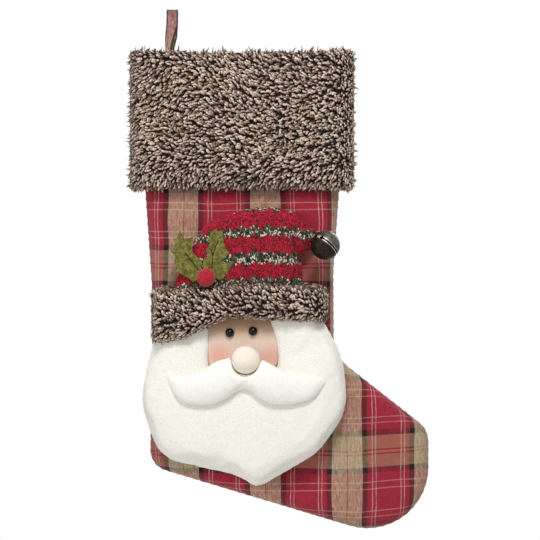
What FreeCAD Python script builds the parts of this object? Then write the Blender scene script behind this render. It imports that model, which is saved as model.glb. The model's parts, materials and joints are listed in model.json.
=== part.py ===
import FreeCAD, Part
import math
import os

from FreeCAD import Matrix, Vector

# A hanging stocking, in millimetres. X runs from the heel side to the toe, +Z is up and -Y is the front.
# The origin is the inside top of the hanging loop, where a hook holds it.
os.makedirs("parts", exist_ok=True)

# Cloth thicknesses
CLOTH = 1.4
LINING = 1.0
FLEECE = 1.3
FELT = 1.2
BACKING_INSET = 2.5
LAYER_GAP = 0.3
FACE_GAP = 0.6

# Depths of the stocking, front to back
FRONT_FACE = -34.0
BACK_FACE = 4.0
SEAM_Y = -15.0
PANEL_EDGE = 14.0
MOUTH_Z = -44.0

# Fur cuff
CUFF_TOP = -42.0
CUFF_BOTTOM = -178.5
CUFF_LEFT = -41.0
CUFF_RIGHT = 181.0
CUFF_FRONT = -45.5
CUFF_BACK = 12.5
CUFF_HOLE_GAP = 2.3
CUFF_BACKING = 1.0

# Hanging loop
STRAP_WIDTH = 11.6
STRAP = 1.4
LOOP_INNER_RADIUS = 3.4
LOOP_HINGE_Z = -44.3
LOOP_BASE_Z = -42.4
LOOP_BASE_X = -2.5
LOOP_BASE_Y = -0.4
TAB_HEIGHT = 18.0

# Stuffed head and hat, sewn to the front panel
HEAD_BACK = FRONT_FACE - 0.4
HEAD_START = HEAD_BACK - FELT
BEARD_FACE = -60.0
FACE_FACE = -56.0
CROWN_FACE = -57.0
BRIM_FACE = -71.0
TIP_PLANE = 124.6
TIP_GAP = 0.4

# Bell
BELL_RADIUS = 14.5
BELL_SHEET = 0.8
BELL_CENTRE = Vector(152.5, -66.0, -235.5)
BELL_POLE = Vector(0.58, -0.80, -0.15)
BELL_SLOT_NORMAL = Vector(0.596, 0.2915, 0.7476)
SLOT_WIDTH = 1.8
SLOT_HALF_ANGLE = 65.0
SLOT_HOLE_RADIUS = 1.9
EYELET_RADIUS = 2.2
EYELET_WIRE = 0.4
THREAD_RADIUS = 1.6
THREAD_WIRE = 0.25
TIE_DISTANCE = 18.8
TIE_POCKET = 4.5
PELLET_RADIUS = 3.2

# Holly sprig and berry
BERRY_RADIUS = 9.25
BERRY_CENTRE = Vector(35.0, -69.7, -267.5)
LEAF_FRONT = -60.0
LEAF_FELT = 1.5
LEAF_HOLLOW = 0.05
VEIN_WIDTH = 0.9
VEIN_HEIGHT = 0.35

# Outlines seen from the front, as corners (x, z, radius), anticlockwise
STOCKING = [(-28, -20, 20), (-28, -170, 200), (-20, -285, 300), (-20.5, -350, 300), (-22.5, -456, 22),
            (257, -540, 62), (257, -419, 25), (162.5, -345, 35), (162, -262, 250), (168.5, -170, 300),
            (168.5, -20, 20)]
BEARD = [(-9, -298, 16), (-31, -390, 52), (-12, -446, 34), (62, -466, 60), (86, -477.5, 10.5),
         (146, -441, 40), (175, -400, 42), (170, -345, 60), (143, -298, 16)]
FACE_WINDOW = [(35, -304, 7), (35, -360, 10), (107, -360, 10), (108, -335, 20), (99.5, -304, 7)]
CROWN = [(22, -231, 18), (-4, -288, 11), (131, -288, 11), (131, -203, 12), (87, -193.5, 90), (36, -212, 14)]
BRIM = [(-18.5, -278, 10), (-18.5, -336, 10), (16, -331, 40), (56, -310, 60), (154.5, -314.5, 10),
        (154.5, -276, 10), (90, -271, 200)]
LEFT_LEAF = [(31, -262), (30.8, -250.5), (27.5, -248.5), (22, -243), (21, -233), (22.5, -226), (14, -230.5),
             (12.3, -226), (8.5, -218.3), (6.3, -228), (2.3, -229), (4.2, -234), (0.2, -242), (4, -246.5),
             (3.2, -253), (9.2, -258.5), (4, -261.5), (22, -272), (27, -270)]
RIGHT_LEAF = [(31.6, -262), (48, -270.5), (52, -269), (59, -259), (62.4, -250.5), (48.8, -254.3), (58, -244),
              (54, -237), (52, -230), (51.5, -220.5), (47, -222), (45.5, -219), (40, -221.5), (36.2, -230.5),
              (38.5, -234), (34.8, -240.5), (35.8, -246.5), (31.5, -250.5)]
LEFT_VEINS = [((27.5, -260), (14.4, -243.2))]
RIGHT_VEINS = [((40.6, -258.5), (41.6, -246)), ((41.6, -246), (43, -240)), ((43, -240), (47, -230.5)),
               ((41.6, -246), (39.4, -238.5))]

# Sections along X, as (x, middle z, half height, middle y, half depth)
MOUSTACHE = [(-7.5, -366, 3.4, -64.0, 2.6), (4, -374, 12, -65.8, 5.2), (20, -378.5, 15.5, -67.4, 6.8),
             (38, -373, 21.5, -68.2, 7.6), (56, -366.5, 22, -68.0, 7.4), (73, -362, 19, -66.6, 6.0),
             (90, -368, 22, -68.0, 7.4), (108, -374.5, 20, -68.2, 7.6), (128, -377, 15.5, -67.4, 6.8),
             (146, -373.5, 10, -65.8, 5.2), (155, -370.5, 3.4, -64.0, 2.6)]
TIP = [(TIP_PLANE + TIP_GAP, -228, 18.6, -46, 9.3), (134, -226.5, 14.5, -46, 8.5),
       (141.5, -226, 9.3, -46.5, 6.5),
       (145.5, -226.3, 4, -47, 3)]

NOSE_CENTRE = Vector(74.0, -69.6, -348.5)
NOSE_RADII = (14.0, 12.4, 14.0)
EYE_RADIUS = 4.5
EYES = {"eye_left": (58.2, -322.0), "eye_right": (81.2, -320.4)}


def side_normal(a, b):
    """The unit vector to the left of the way from a to b, which points into an anticlockwise outline."""
    run, rise = b[0] - a[0], b[1] - a[1]
    length = math.hypot(run, rise)
    return (-rise / length, run / length)


def crossing(corner, before, after, inset):
    """Where a corner goes when both of its sides move inwards by inset."""
    n, m = side_normal(before, corner), side_normal(corner, after)
    share = inset / (1 + n[0] * m[0] + n[1] * m[1])
    return (corner[0] + share * (n[0] + m[0]), corner[1] + share * (n[1] + m[1]))


def rounded_wire(corners, inset, place):
    """The outline with its corners rounded, moved inwards by inset. place turns two coordinates into a point."""
    count = len(corners)
    moved = [crossing(corners[i], corners[i - 1], corners[(i + 1) % count], inset) for i in range(count)]
    arcs = []
    for i, (x, z) in enumerate(moved):
        before, after = moved[i - 1], moved[(i + 1) % count]
        n, m = side_normal(before, (x, z)), side_normal((x, z), after)
        turn = math.atan2(n[0] * m[1] - n[1] * m[0], n[0] * m[0] + n[1] * m[1])
        radius = corners[i][2] - math.copysign(inset, turn)
        reach = radius * math.tan(abs(turn) / 2)
        start = (x - reach * n[1], z + reach * n[0])
        end = (x + reach * m[1], z - reach * m[0])
        sagitta = radius * (1 / math.cos(turn / 2) - 1)
        bisector = (n[0] + m[0], n[1] + m[1])
        size = math.hypot(*bisector)
        side = math.copysign(sagitta / size, turn)
        middle = (x + side * bisector[0], z + side * bisector[1])
        arcs.append((start, middle, end))
    edges = []
    for i, (start, middle, end) in enumerate(arcs):
        edges.append(Part.Arc(place(*start), place(*middle), place(*end)).toShape())
        following = arcs[(i + 1) % count][0]
        edges.append(Part.LineSegment(place(*end), place(*following)).toShape())
    return Part.Wire(edges)


def at_depth(y):
    """Places front-view coordinates (x, z) at depth y."""
    return lambda x, z: Vector(x, y, z)


def at_height(z):
    """Places plan-view coordinates (x, y) at height z."""
    return lambda x, y: Vector(x, y, z)


def half_pillow(corners, start_y, face_y, edge, inset=0.0):
    """A solid from start_y to a flat face at face_y, with its rim rounded over by edge."""
    wires = []
    for degrees in (0, 25, 50, 70, 90):
        angle = math.radians(degrees)
        ring_inset = inset + edge * (1 - math.cos(angle))
        y = start_y + (face_y - start_y) * math.sin(angle)
        wires.append(rounded_wire(corners, ring_inset, at_depth(y)))
    return Part.makeLoft(wires, True)


def prism(corners, y_low, y_high, inset=0.0):
    """A flat-sided solid of the outline between two depths."""
    face = Part.Face(rounded_wire(corners, inset, at_depth(y_low)))
    return face.extrude(Vector(0, y_high - y_low, 0))


def block(low, high):
    """A box between two corners."""
    return Part.makeBox(high[0] - low[0], high[1] - low[1], high[2] - low[2], Vector(*low))


def sausage(sections, shrink=0.0):
    """A stuffed tube along X through elliptical sections, each shrunk by the same thickness."""
    wires = []
    last = len(sections) - 1
    for i, (x, z, half_height, y, half_depth) in enumerate(sections):
        inwards = shrink if i == 0 else -shrink if i == last else 0.0
        tall, deep = half_height - shrink, half_depth - shrink
        centre = Vector(x + inwards, y, z)
        if tall >= deep:
            ellipse = Part.Ellipse(centre + Vector(0, 0, tall), centre + Vector(0, deep, 0), centre)
        else:
            ellipse = Part.Ellipse(centre + Vector(0, deep, 0), centre + Vector(0, 0, tall), centre)
        wires.append(Part.Wire([ellipse.toShape()]))
    return Part.makeLoft(wires, True)


def ellipsoid(centre, radii):
    """A ball stretched to three radii."""
    stretch = Matrix()
    stretch.scale(Vector(*radii))
    ball = Part.makeSphere(1.0).transformGeometry(stretch)
    ball.translate(centre)
    return ball


def save(name, shape):
    """Writes one node."""
    if not shape.isValid() or shape.Volume <= 0:
        raise ValueError(name + " is not a valid solid")
    shape.exportStep("parts/" + name + ".step")


def stocking_layer(start_y, face_y, outer, thickness):
    """One half of a bag that follows the stocking: outer is how far inside the outline it lies."""
    side = math.copysign(1.0, face_y - start_y)
    near = half_pillow(STOCKING, start_y, face_y - side * outer, PANEL_EDGE - outer, outer)
    deeper = outer + thickness
    hollow = half_pillow(STOCKING, start_y, face_y - side * deeper, PANEL_EDGE - deeper, deeper)
    above_mouth = block((-60, -60, MOUTH_Z), (200, 30, 0))
    return near.cut(hollow).cut(above_mouth)


def panels_and_lining():
    lining_depth = CLOTH + LAYER_GAP
    for face, name in ((FRONT_FACE, "front"), (BACK_FACE, "back")):
        save(name + "_panel", stocking_layer(SEAM_Y, face, 0.0, CLOTH))
        save("lining_" + name, stocking_layer(SEAM_Y, face, lining_depth, LINING))


def cuff():
    """The fur cuff and its knitted backing, each a ring in two halves round the mouth."""
    outer = [(CUFF_LEFT, CUFF_BACK, 24), (CUFF_LEFT, CUFF_FRONT, 24), (CUFF_RIGHT, CUFF_FRONT, 24),
             (CUFF_RIGHT, CUFF_BACK, 24)]
    left, right = STOCKING[0][0] - CUFF_HOLE_GAP, STOCKING[-1][0] + CUFF_HOLE_GAP
    front, back = FRONT_FACE - CUFF_HOLE_GAP, BACK_FACE + CUFF_HOLE_GAP
    hole = [(left, back, 14), (left, front, 14), (right, front, 14), (right, back, 14)]
    rolls = [(CUFF_TOP, 5.0), (CUFF_TOP - 1, 2.5), (CUFF_TOP - 2.5, 1.0), (CUFF_TOP - 5, 0.0),
             (CUFF_BOTTOM + 5, 0.0),
             (CUFF_BOTTOM + 2.5, 1.0), (CUFF_BOTTOM + 1, 2.5), (CUFF_BOTTOM, 5.0)]
    pile = Part.makeLoft([rounded_wire(outer, inset, at_height(z)) for z, inset in rolls], True, True)
    height = Vector(0, 0, CUFF_TOP - CUFF_BOTTOM + 10)
    passage = Part.Face(rounded_wire(hole, 0.0, at_height(CUFF_BOTTOM - 5))).extrude(height)
    backing_height = Vector(0, 0, MOUTH_Z - 1 - (CUFF_BOTTOM + 3))
    backing_start = at_height(CUFF_BOTTOM + 3)
    backing = Part.Face(rounded_wire(hole, LAYER_GAP, backing_start)).extrude(backing_height)
    inside = Part.Face(rounded_wire(hole, LAYER_GAP + CUFF_BACKING, backing_start)).extrude(backing_height)
    halves = {"front": block((-60, -60, -200), (200, SEAM_Y, 0)),
              "back": block((-60, SEAM_Y, -200), (200, 30, 0))}
    for name, half in halves.items():
        save("cuff_fur_" + name, pile.cut(passage).common(half))
        save("cuff_backing_" + name, backing.cut(inside).common(half))


def strap_section(side, z, middle_x, middle_y, half_gap, width, degrees):
    """The strap's rectangle at height z on one leg of the loop, turned about the vertical."""
    angle = math.radians(degrees)
    along = Vector(math.cos(angle), math.sin(angle), 0)
    across = Vector(-math.sin(angle), math.cos(angle), 0)
    centre = Vector(middle_x, middle_y, z) + across * (side * half_gap)
    corners = [centre + along * (i * width / 2) + across * (j * STRAP / 2)
               for i, j in ((-1, -1), (1, -1), (1, 1), (-1, 1))]
    return Part.makePolygon(corners + corners[:1])


def hanging_loop():
    """The folded strap: two legs that twist on their way down, joined by a half-round fold over the hook."""
    fold_gap = LOOP_INNER_RADIUS + STRAP / 2
    stations = [(LOOP_BASE_Z, LOOP_BASE_X, LOOP_BASE_Y, 0.95, 9.5, 0),
                (-37.5, -2.5, LOOP_BASE_Y, 1.9, 8.5, -45),
                (-26, -1.2, -0.2, 3.0, 10.5, -28), (-14, -0.2, 0, fold_gap, STRAP_WIDTH, 0),
                (-LOOP_INNER_RADIUS, 0, 0, fold_gap, STRAP_WIDTH, 0)]
    legs = [Part.makeLoft([strap_section(side, *s) for s in stations], True, True) for side in (-1, 1)]
    start = Vector(-STRAP_WIDTH / 2, 0, -LOOP_INNER_RADIUS)
    ring = Part.makeCylinder(LOOP_INNER_RADIUS + STRAP, STRAP_WIDTH, start, Vector(1, 0, 0))
    ring = ring.cut(Part.makeCylinder(LOOP_INNER_RADIUS, STRAP_WIDTH, start, Vector(1, 0, 0)))
    fold = ring.common(block((-20, -20, -LOOP_INNER_RADIUS), (20, 20, 20)))
    save("hanging_loop", legs[0].fuse(legs[1]).fuse(fold).removeSplitter())
    tab_front, tab_back = LOOP_BASE_Y - 1.6, LOOP_BASE_Y + 1.6
    tab_top = LOOP_HINGE_Z - 0.3
    left, right = LOOP_BASE_X - 5.5, LOOP_BASE_X + 5.5
    save("loop_tab", block((left, tab_front, tab_top - TAB_HEIGHT), (right, tab_back, tab_top)))
    tack_z = tab_top - TAB_HEIGHT * 0.7
    save("loop_bar_tack", block((left + 1, tab_front - 0.5, tack_z), (right - 1, tab_front, tack_z + 1.6)))


def beard_and_face():
    """The stuffed beard with a window for the face, and the stuffed face that shows in it."""
    save("head_backing", prism(BEARD, HEAD_BACK, HEAD_START + LAYER_GAP / 2, BACKING_INSET))
    whole = half_pillow(BEARD, HEAD_START, BEARD_FACE, 9.5)
    core = half_pillow(BEARD, HEAD_START, BEARD_FACE + FLEECE, 9.5 - FLEECE, FLEECE)
    window = prism(FACE_WINDOW, HEAD_BACK, BEARD_FACE - 5)
    wide_window = prism(FACE_WINDOW, HEAD_BACK, BEARD_FACE - 5, -FLEECE)
    stuffing = core.cut(wide_window)
    save("beard_stuffing", stuffing)
    save("beard_cover", whole.cut(window).cut(stuffing))
    patch = half_pillow(FACE_WINDOW, HEAD_START, FACE_FACE, 5.5, FACE_GAP)
    padding = half_pillow(FACE_WINDOW, HEAD_START, FACE_FACE + FLEECE, 5.5 - FLEECE, FACE_GAP + FLEECE)
    save("face_stuffing", padding)
    save("face_patch", patch.cut(padding))
    for name, (x, z) in EYES.items():
        bead = Part.makeSphere(EYE_RADIUS, Vector(x, FACE_FACE - 0.6, z))
        save(name, bead.common(block((x - 9, FACE_FACE - 9, z - 9), (x + 9, FACE_FACE - 0.1, z + 9))))


def nose_and_moustache():
    inner_radii = [radius - FLEECE for radius in NOSE_RADII]
    nose_core = ellipsoid(NOSE_CENTRE, inner_radii)
    save("nose_stuffing", nose_core)
    save("nose_cover", ellipsoid(NOSE_CENTRE, NOSE_RADII).cut(nose_core))
    room = ellipsoid(NOSE_CENTRE, [radius + LAYER_GAP for radius in NOSE_RADII])
    wide_room = ellipsoid(NOSE_CENTRE, [radius + LAYER_GAP + FLEECE for radius in NOSE_RADII])
    stuffing = sausage(MOUSTACHE, FLEECE).cut(wide_room)
    save("moustache_stuffing", stuffing)
    save("moustache_cover", sausage(MOUSTACHE).cut(room).cut(stuffing))


def hat():
    """The stuffed crown, its free tip, dimpled where the bell is tied, and the fur brim round the head."""
    beyond_tip = block((TIP_PLANE, -90, -253), (200, 0, -180))
    backing = prism(CROWN, HEAD_BACK, HEAD_START + LAYER_GAP / 2, BACKING_INSET)
    save("hat_backing", backing.cut(beyond_tip))
    whole = half_pillow(CROWN, HEAD_START, CROWN_FACE, 10).cut(beyond_tip)
    core = half_pillow(CROWN, HEAD_START, CROWN_FACE + FLEECE, 10 - FLEECE, FLEECE)
    beyond_core = block((TIP_PLANE - FLEECE, -90, -253 - FLEECE), (200, 0, -180))
    stuffing = core.cut(beyond_core)
    save("hat_stuffing", stuffing)
    save("hat_crown", whole.cut(stuffing))
    tie_point = BELL_CENTRE - Vector(BELL_POLE).normalize() * TIE_DISTANCE
    tip_stuffing = sausage(TIP, FLEECE).cut(Part.makeSphere(TIE_POCKET + FLEECE, tie_point))
    save("hat_tip_stuffing", tip_stuffing)
    save("hat_tip", sausage(TIP).cut(Part.makeSphere(TIE_POCKET, tie_point)).cut(tip_stuffing))
    band = half_pillow(BRIM, HEAD_BACK, BRIM_FACE, 9)
    room = half_pillow(CROWN, HEAD_BACK + 1, CROWN_FACE - LAYER_GAP, 10, -LAYER_GAP)
    head_room = half_pillow(BEARD, HEAD_BACK + 1, BEARD_FACE - LAYER_GAP, 9.5, -LAYER_GAP)
    berry_room = Part.makeSphere(BERRY_RADIUS + 0.4, BERRY_CENTRE)
    band = band.cut(room).cut(head_room).cut(berry_room)
    save("hat_brim", max(band.Solids, key=lambda solid: solid.Volume))
    save("berry", Part.makeSphere(BERRY_RADIUS, BERRY_CENTRE))


def leaf_outline(spikes):
    """A felt leaf seen from the front: the edge hollows in between one spike and the next."""
    edges = []
    for i, (x, z) in enumerate(spikes):
        next_x, next_z = spikes[(i + 1) % len(spikes)]
        n = side_normal((x, z), (next_x, next_z))
        hollow = LEAF_HOLLOW * math.hypot(next_x - x, next_z - z)
        middle = Vector((x + next_x) / 2 + n[0] * hollow, LEAF_FRONT, (z + next_z) / 2 + n[1] * hollow)
        edges.append(Part.Arc(Vector(x, LEAF_FRONT, z), middle, Vector(next_x, LEAF_FRONT, next_z)).toShape())
    return Part.Face(Part.Wire(edges)).extrude(Vector(0, LEAF_FELT, 0))


def beyond_root(along, distance):
    """A big block that starts at this distance from the berry's middle, on the leaf's side."""
    half = Part.makeBox(200, 200, 200, Vector(-100, -100, 0))
    turn = FreeCAD.Rotation(Vector(0, 0, 1), along)
    centre = Vector(BERRY_CENTRE.x, LEAF_FRONT, BERRY_CENTRE.z) + along * distance
    half.Placement = FreeCAD.Placement(centre, turn)
    return half


def vein(start, end):
    """One stitched line on the front of a leaf."""
    way = Vector(end[0] - start[0], 0, end[1] - start[1])
    stitch = Part.makeBox(way.Length, VEIN_WIDTH, VEIN_HEIGHT, Vector(0, -VEIN_WIDTH / 2, 0))
    turn = FreeCAD.Rotation(way, Vector(), Vector(0, -1, 0), "XZY")
    stitch.Placement = FreeCAD.Placement(Vector(start[0], LEAF_FRONT - 0.02, start[1]), turn)
    return stitch


def holly():
    """Two leaves that bend at their roots, and the piece of felt under the berry that they are cut in one with."""
    root_distance = BERRY_RADIUS + 0.5
    bases = []
    for name, spikes, veins, along in (("left", LEFT_LEAF, LEFT_VEINS, Vector(-0.371, 0, 0.928)),
                                       ("right", RIGHT_LEAF, RIGHT_VEINS, Vector(0.30, 0, 0.954))):
        whole = leaf_outline(spikes)
        save("holly_leaf_" + name, whole.common(beyond_root(along, root_distance + 0.15)))
        bases.append(whole.cut(beyond_root(along, root_distance - 0.15)))
        lines = [vein(start, end) for start, end in veins]
        stitching = lines[0]
        for line in lines[1:]:
            stitching = stitching.fuse(line)
        kept = beyond_root(along, root_distance + 0.15)
        save("holly_vein_" + name, stitching.removeSplitter().common(kept))
    joined = block((26, LEAF_FRONT, -272), (44, LEAF_FRONT + LEAF_FELT, -261))
    save("holly_base", joined.fuse(bases[0]).fuse(bases[1]).removeSplitter())


def bell():
    """The jingle bell, made with its slotted pole on +Z and then turned to where it hangs."""
    pole = Vector(BELL_POLE).normalize()
    normal = Vector(BELL_SLOT_NORMAL)
    normal = (normal - pole * normal.dot(pole)).normalize()
    slot_way = normal.cross(pole)
    placed = Matrix(slot_way.x, normal.x, pole.x, BELL_CENTRE.x, slot_way.y, normal.y, pole.y, BELL_CENTRE.y,
                    slot_way.z, normal.z, pole.z, BELL_CENTRE.z, 0, 0, 0, 1)
    shell = Part.makeSphere(BELL_RADIUS).cut(Part.makeSphere(BELL_RADIUS - BELL_SHEET))
    big = 2 * BELL_RADIUS
    above = block((-big, -big, 0), (big, big, big))
    below = block((-big, -big, -big), (big, big, 0))
    angle = math.radians(SLOT_HALF_ANGLE)
    reach, low = BELL_RADIUS * math.sin(angle), BELL_RADIUS * math.cos(angle)
    lower = shell.common(above).cut(block((-reach, -SLOT_WIDTH / 2, low), (reach, SLOT_WIDTH / 2, big)))
    for side in (-1, 1):
        way = Vector(side * math.sin(angle), 0, math.cos(angle))
        lower = lower.cut(Part.makeCylinder(SLOT_HOLE_RADIUS, big, Vector(), way))
    eyelet_z = -(BELL_RADIUS + EYELET_RADIUS - 0.6)
    eyelet = Part.makeTorus(EYELET_RADIUS, EYELET_WIRE, Vector(0, 0, eyelet_z), Vector(1, 0, 0))
    eyelet = eyelet.cut(Part.makeSphere(BELL_RADIUS))
    thread_z = eyelet_z - THREAD_RADIUS
    thread = Part.makeTorus(THREAD_RADIUS, THREAD_WIRE, Vector(0, 0, thread_z), Vector(0, 1, 0))
    pieces = {"bell_lower_shell": lower, "bell_upper_shell": shell.common(below), "bell_eyelet": eyelet,
              "bell_thread": thread}
    for name, shape in pieces.items():
        shape.Placement = FreeCAD.Placement(placed)
        save(name, shape)
    low_point = BELL_RADIUS - BELL_SHEET - PELLET_RADIUS - 0.3
    save("bell_pellet", Part.makeSphere(PELLET_RADIUS, BELL_CENTRE - Vector(0, 0, low_point)))


panels_and_lining()
cuff()
hanging_loop()
beard_and_face()
nose_and_moustache()
hat()
holly()
bell()
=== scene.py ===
import json
import math

import bmesh
import bpy
import numpy as np
from mathutils import Matrix, Vector
from mathutils.bvhtree import BVHTree
from mathutils.geometry import delaunay_2d_cdt
from mathutils.kdtree import KDTree


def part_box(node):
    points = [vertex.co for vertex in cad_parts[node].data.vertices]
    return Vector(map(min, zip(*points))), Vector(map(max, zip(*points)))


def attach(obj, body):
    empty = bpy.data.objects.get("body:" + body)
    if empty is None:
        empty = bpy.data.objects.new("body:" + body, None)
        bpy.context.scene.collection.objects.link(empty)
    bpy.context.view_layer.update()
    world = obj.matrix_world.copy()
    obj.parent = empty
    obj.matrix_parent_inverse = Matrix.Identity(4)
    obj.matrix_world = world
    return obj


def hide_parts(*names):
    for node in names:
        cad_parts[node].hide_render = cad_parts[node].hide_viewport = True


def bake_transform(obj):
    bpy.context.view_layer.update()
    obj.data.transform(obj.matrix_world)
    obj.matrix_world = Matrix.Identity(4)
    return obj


# A hanging stocking with a stuffed folk figure, in metres. -Y is the front and +Z is up.
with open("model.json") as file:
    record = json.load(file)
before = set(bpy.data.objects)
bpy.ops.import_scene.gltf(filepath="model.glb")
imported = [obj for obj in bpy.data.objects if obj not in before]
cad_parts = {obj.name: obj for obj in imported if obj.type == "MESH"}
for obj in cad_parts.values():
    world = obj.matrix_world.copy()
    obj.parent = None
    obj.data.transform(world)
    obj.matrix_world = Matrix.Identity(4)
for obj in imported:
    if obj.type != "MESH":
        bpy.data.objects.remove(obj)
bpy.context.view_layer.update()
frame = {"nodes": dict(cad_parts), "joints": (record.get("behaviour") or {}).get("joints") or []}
NODES = frame["nodes"]
JOINTS = {joint["name"]: joint for joint in frame["joints"]}
MM = 0.001


# ---------------- numbers and meshes

def unit(vectors):
    """Each row at length one."""
    return vectors / np.maximum(np.linalg.norm(vectors, axis=-1, keepdims=True), 1e-12)


def lattice_noise(points, scale, seed):
    """Smooth noise from -1 to 1 at each point, with features about scale across."""
    rng = np.random.default_rng(seed)
    table = rng.uniform(-1, 1, (32, 32, 32))
    cell = points / scale
    low = np.floor(cell).astype(int)
    part = cell - low
    part = part * part * (3 - 2 * part)
    total = np.zeros(len(points))
    for corner in np.ndindex(2, 2, 2):
        share = np.prod(np.where(np.array(corner) == 1, part, 1 - part), axis=1)
        at = (low + corner) % 32
        total += share * table[at[:, 0], at[:, 1], at[:, 2]]
    return total


def read(values_of, field):
    """A vector for each vertex, as an array."""
    values = np.zeros(len(values_of) * 3, np.float32)
    values_of.foreach_get(field, values)
    return values.reshape(-1, 3).astype(float)


def points_of(obj):
    return read(obj.data.vertices, "co")


def normals_of(obj):
    return read(obj.data.vertex_normals, "vector")


def set_points(obj, points):
    obj.data.vertices.foreach_set("co", points.astype(np.float32).ravel())
    obj.data.update()


def upright(flat, y=0.0):
    """Points (x, z) of a drawing, stood up at the depth y."""
    return np.column_stack([flat[:, 0], np.zeros(len(flat)) + y, flat[:, 1]])


def placed(name, data):
    """An object in the scene, with this mesh, lamp or camera."""
    obj = bpy.data.objects.new(name, data)
    bpy.context.scene.collection.objects.link(obj)
    return obj


def new_object(name, points, faces, materials, slots=None):
    """A smooth-shaded mesh object. Faces all have the same number of corners."""
    mesh = bpy.data.meshes.new(name)
    mesh.from_pydata(np.asarray(points, np.float32), [], np.asarray(faces, np.int32))
    for material in materials:
        mesh.materials.append(material)
    if slots is not None:
        mesh.polygons.foreach_set("material_index", np.asarray(slots, np.int32))
    mesh.polygons.foreach_set("use_smooth", np.ones(len(mesh.polygons), bool))
    mesh.update(calc_edges=True)
    return placed(name, mesh)


def mark(obj, name, values):
    """Keeps a number, or a vector, for each vertex, which materials can read."""
    values = np.asarray(values, np.float32)
    kind, field = ("FLOAT", "value") if values.ndim == 1 else ("FLOAT_VECTOR", "vector")
    obj.data.attributes.new(name, kind, "POINT").data.foreach_set(field, values.ravel())


def merged(nodes):
    """The CAD nodes as one editable mesh, with vertices in the same place joined."""
    shape = bmesh.new()
    for node in nodes:
        shape.from_mesh(NODES[node].data)
    bmesh.ops.remove_doubles(shape, verts=shape.verts, dist=1e-5)
    return shape


def object_from(name, shape, materials):
    """Makes a shape that is being edited into an object."""
    mesh = bpy.data.meshes.new(name)
    shape.to_mesh(mesh)
    shape.free()
    for material in materials:
        mesh.materials.append(material)
    return placed(name, mesh)


def copy_of(name, nodes, materials):
    """A new object with the CAD nodes' shape."""
    shape = merged(nodes)
    for face in shape.faces:
        face.material_index = 0
    return object_from(name, shape, materials)


def tree_of(meshes):
    """Meshes in one tree, for rays and nearest points."""
    shape = bmesh.new()
    for mesh in meshes:
        shape.from_mesh(mesh)
    tree = BVHTree.FromBMesh(shape)
    shape.free()
    return tree


def keep_modifiers(obj):
    """Turns what the modifiers make into the object's own mesh."""
    graph = bpy.context.evaluated_depsgraph_get()
    mesh = bpy.data.meshes.new_from_object(obj.evaluated_get(graph))
    obj.modifiers.clear()
    obj.data = mesh
    mesh.polygons.foreach_set("use_smooth", np.ones(len(mesh.polygons), bool))
    mesh.update()


def smoothed(obj, rounds):
    obj.modifiers.new("Smooth", "SMOOTH").iterations = rounds
    keep_modifiers(obj)


def remeshed(obj, grid, smooth_rounds):
    """One even skin round the shape."""
    remesh = obj.modifiers.new("Skin", "REMESH")
    remesh.mode = "VOXEL"
    remesh.voxel_size = grid
    smoothed(obj, smooth_rounds)


def joined(name, objects):
    """Several mesh objects as one, with their materials kept."""
    shape, materials = bmesh.new(), []
    for obj in objects:
        before = len(shape.faces)
        shape.from_mesh(obj.data)
        shape.faces.ensure_lookup_table()
        for face in shape.faces[before:]:
            face.material_index += len(materials)
        materials.extend(obj.data.materials)
    for obj in objects:
        bpy.data.objects.remove(obj)
    return object_from(name, shape, materials)


# ---------------- strands: fur, yarn and thread

def strands(paths, sides, widths, depths):
    """Closed four-sided tubes along paths (n, k, 3), as points and faces: k + 1 groups of faces a strand."""
    count, rings = paths.shape[:2]
    along = unit(np.gradient(paths, axis=1))
    sides = np.broadcast_to(sides[:, None, :], paths.shape)
    lift = unit(np.cross(along, sides))
    across = unit(np.cross(lift, along)) * widths[..., None] / 2
    out = lift * depths[..., None] / 2
    points = np.stack([paths + across, paths + out, paths - across, paths - out], axis=2).reshape(-1, 3)
    corner = np.arange(4)
    wall = np.stack([corner, (corner + 1) % 4, (corner + 1) % 4 + 4, corner + 4], axis=1)
    walls = (wall[None] + 4 * np.arange(rings - 1)[:, None, None]).reshape(-1, 4)
    start, end = np.array([[3, 2, 1, 0]]), np.array([[0, 1, 2, 3]]) + 4 * (rings - 1)
    one = np.concatenate([start, walls, end])
    faces = (one[None] + (4 * rings * np.arange(count))[:, None, None]).reshape(-1, 4)
    return points, faces


def strand_slots(by_ring):
    """Material slots for each face of the strands, from slots (n, k - 1) for each span between rings."""
    walls = np.repeat(by_ring, 4, axis=1)
    return np.concatenate([by_ring[:, :1], walls, by_ring[:, -1:]], axis=1).ravel()


# ---------------- outlines and pillows

def chains(pairs):
    """Pairs of neighbours, walked from one to the next."""
    links = {}
    for a, b in pairs:
        links.setdefault(a, []).append(b)
        links.setdefault(b, []).append(a)
    while links:
        at = next(iter(links))
        chain = [at]
        while links.get(at):
            following = links[at].pop()
            links[following].remove(at)
            at = following
            chain.append(at)
        links = {key: others for key, others in links.items() if others}
        yield chain


def anticlockwise(loop):
    x, z = loop[:, 0], loop[:, 1]
    area = np.sum(x * np.roll(z, -1) - z * np.roll(x, -1))
    return loop if area > 0 else loop[::-1]


def outline(node, y):
    """The outer edge of a CAD node's faces in the plane at depth y, anticlockwise, as (x, z)."""
    shape = merged([node])
    flat = {face for face in shape.faces if all(abs(vert.co.y - y) < 2e-5 for vert in face.verts)}
    rims = [edge.verts for edge in shape.edges if sum(face in flat for face in edge.link_faces) == 1]
    loops = [np.array([(vert.co.x, vert.co.z) for vert in chain[:-1]]) for chain in chains(rims)]
    shape.free()
    return anticlockwise(max(loops, key=lambda loop: np.ptp(loop[:, 0]) + np.ptp(loop[:, 1])))


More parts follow.
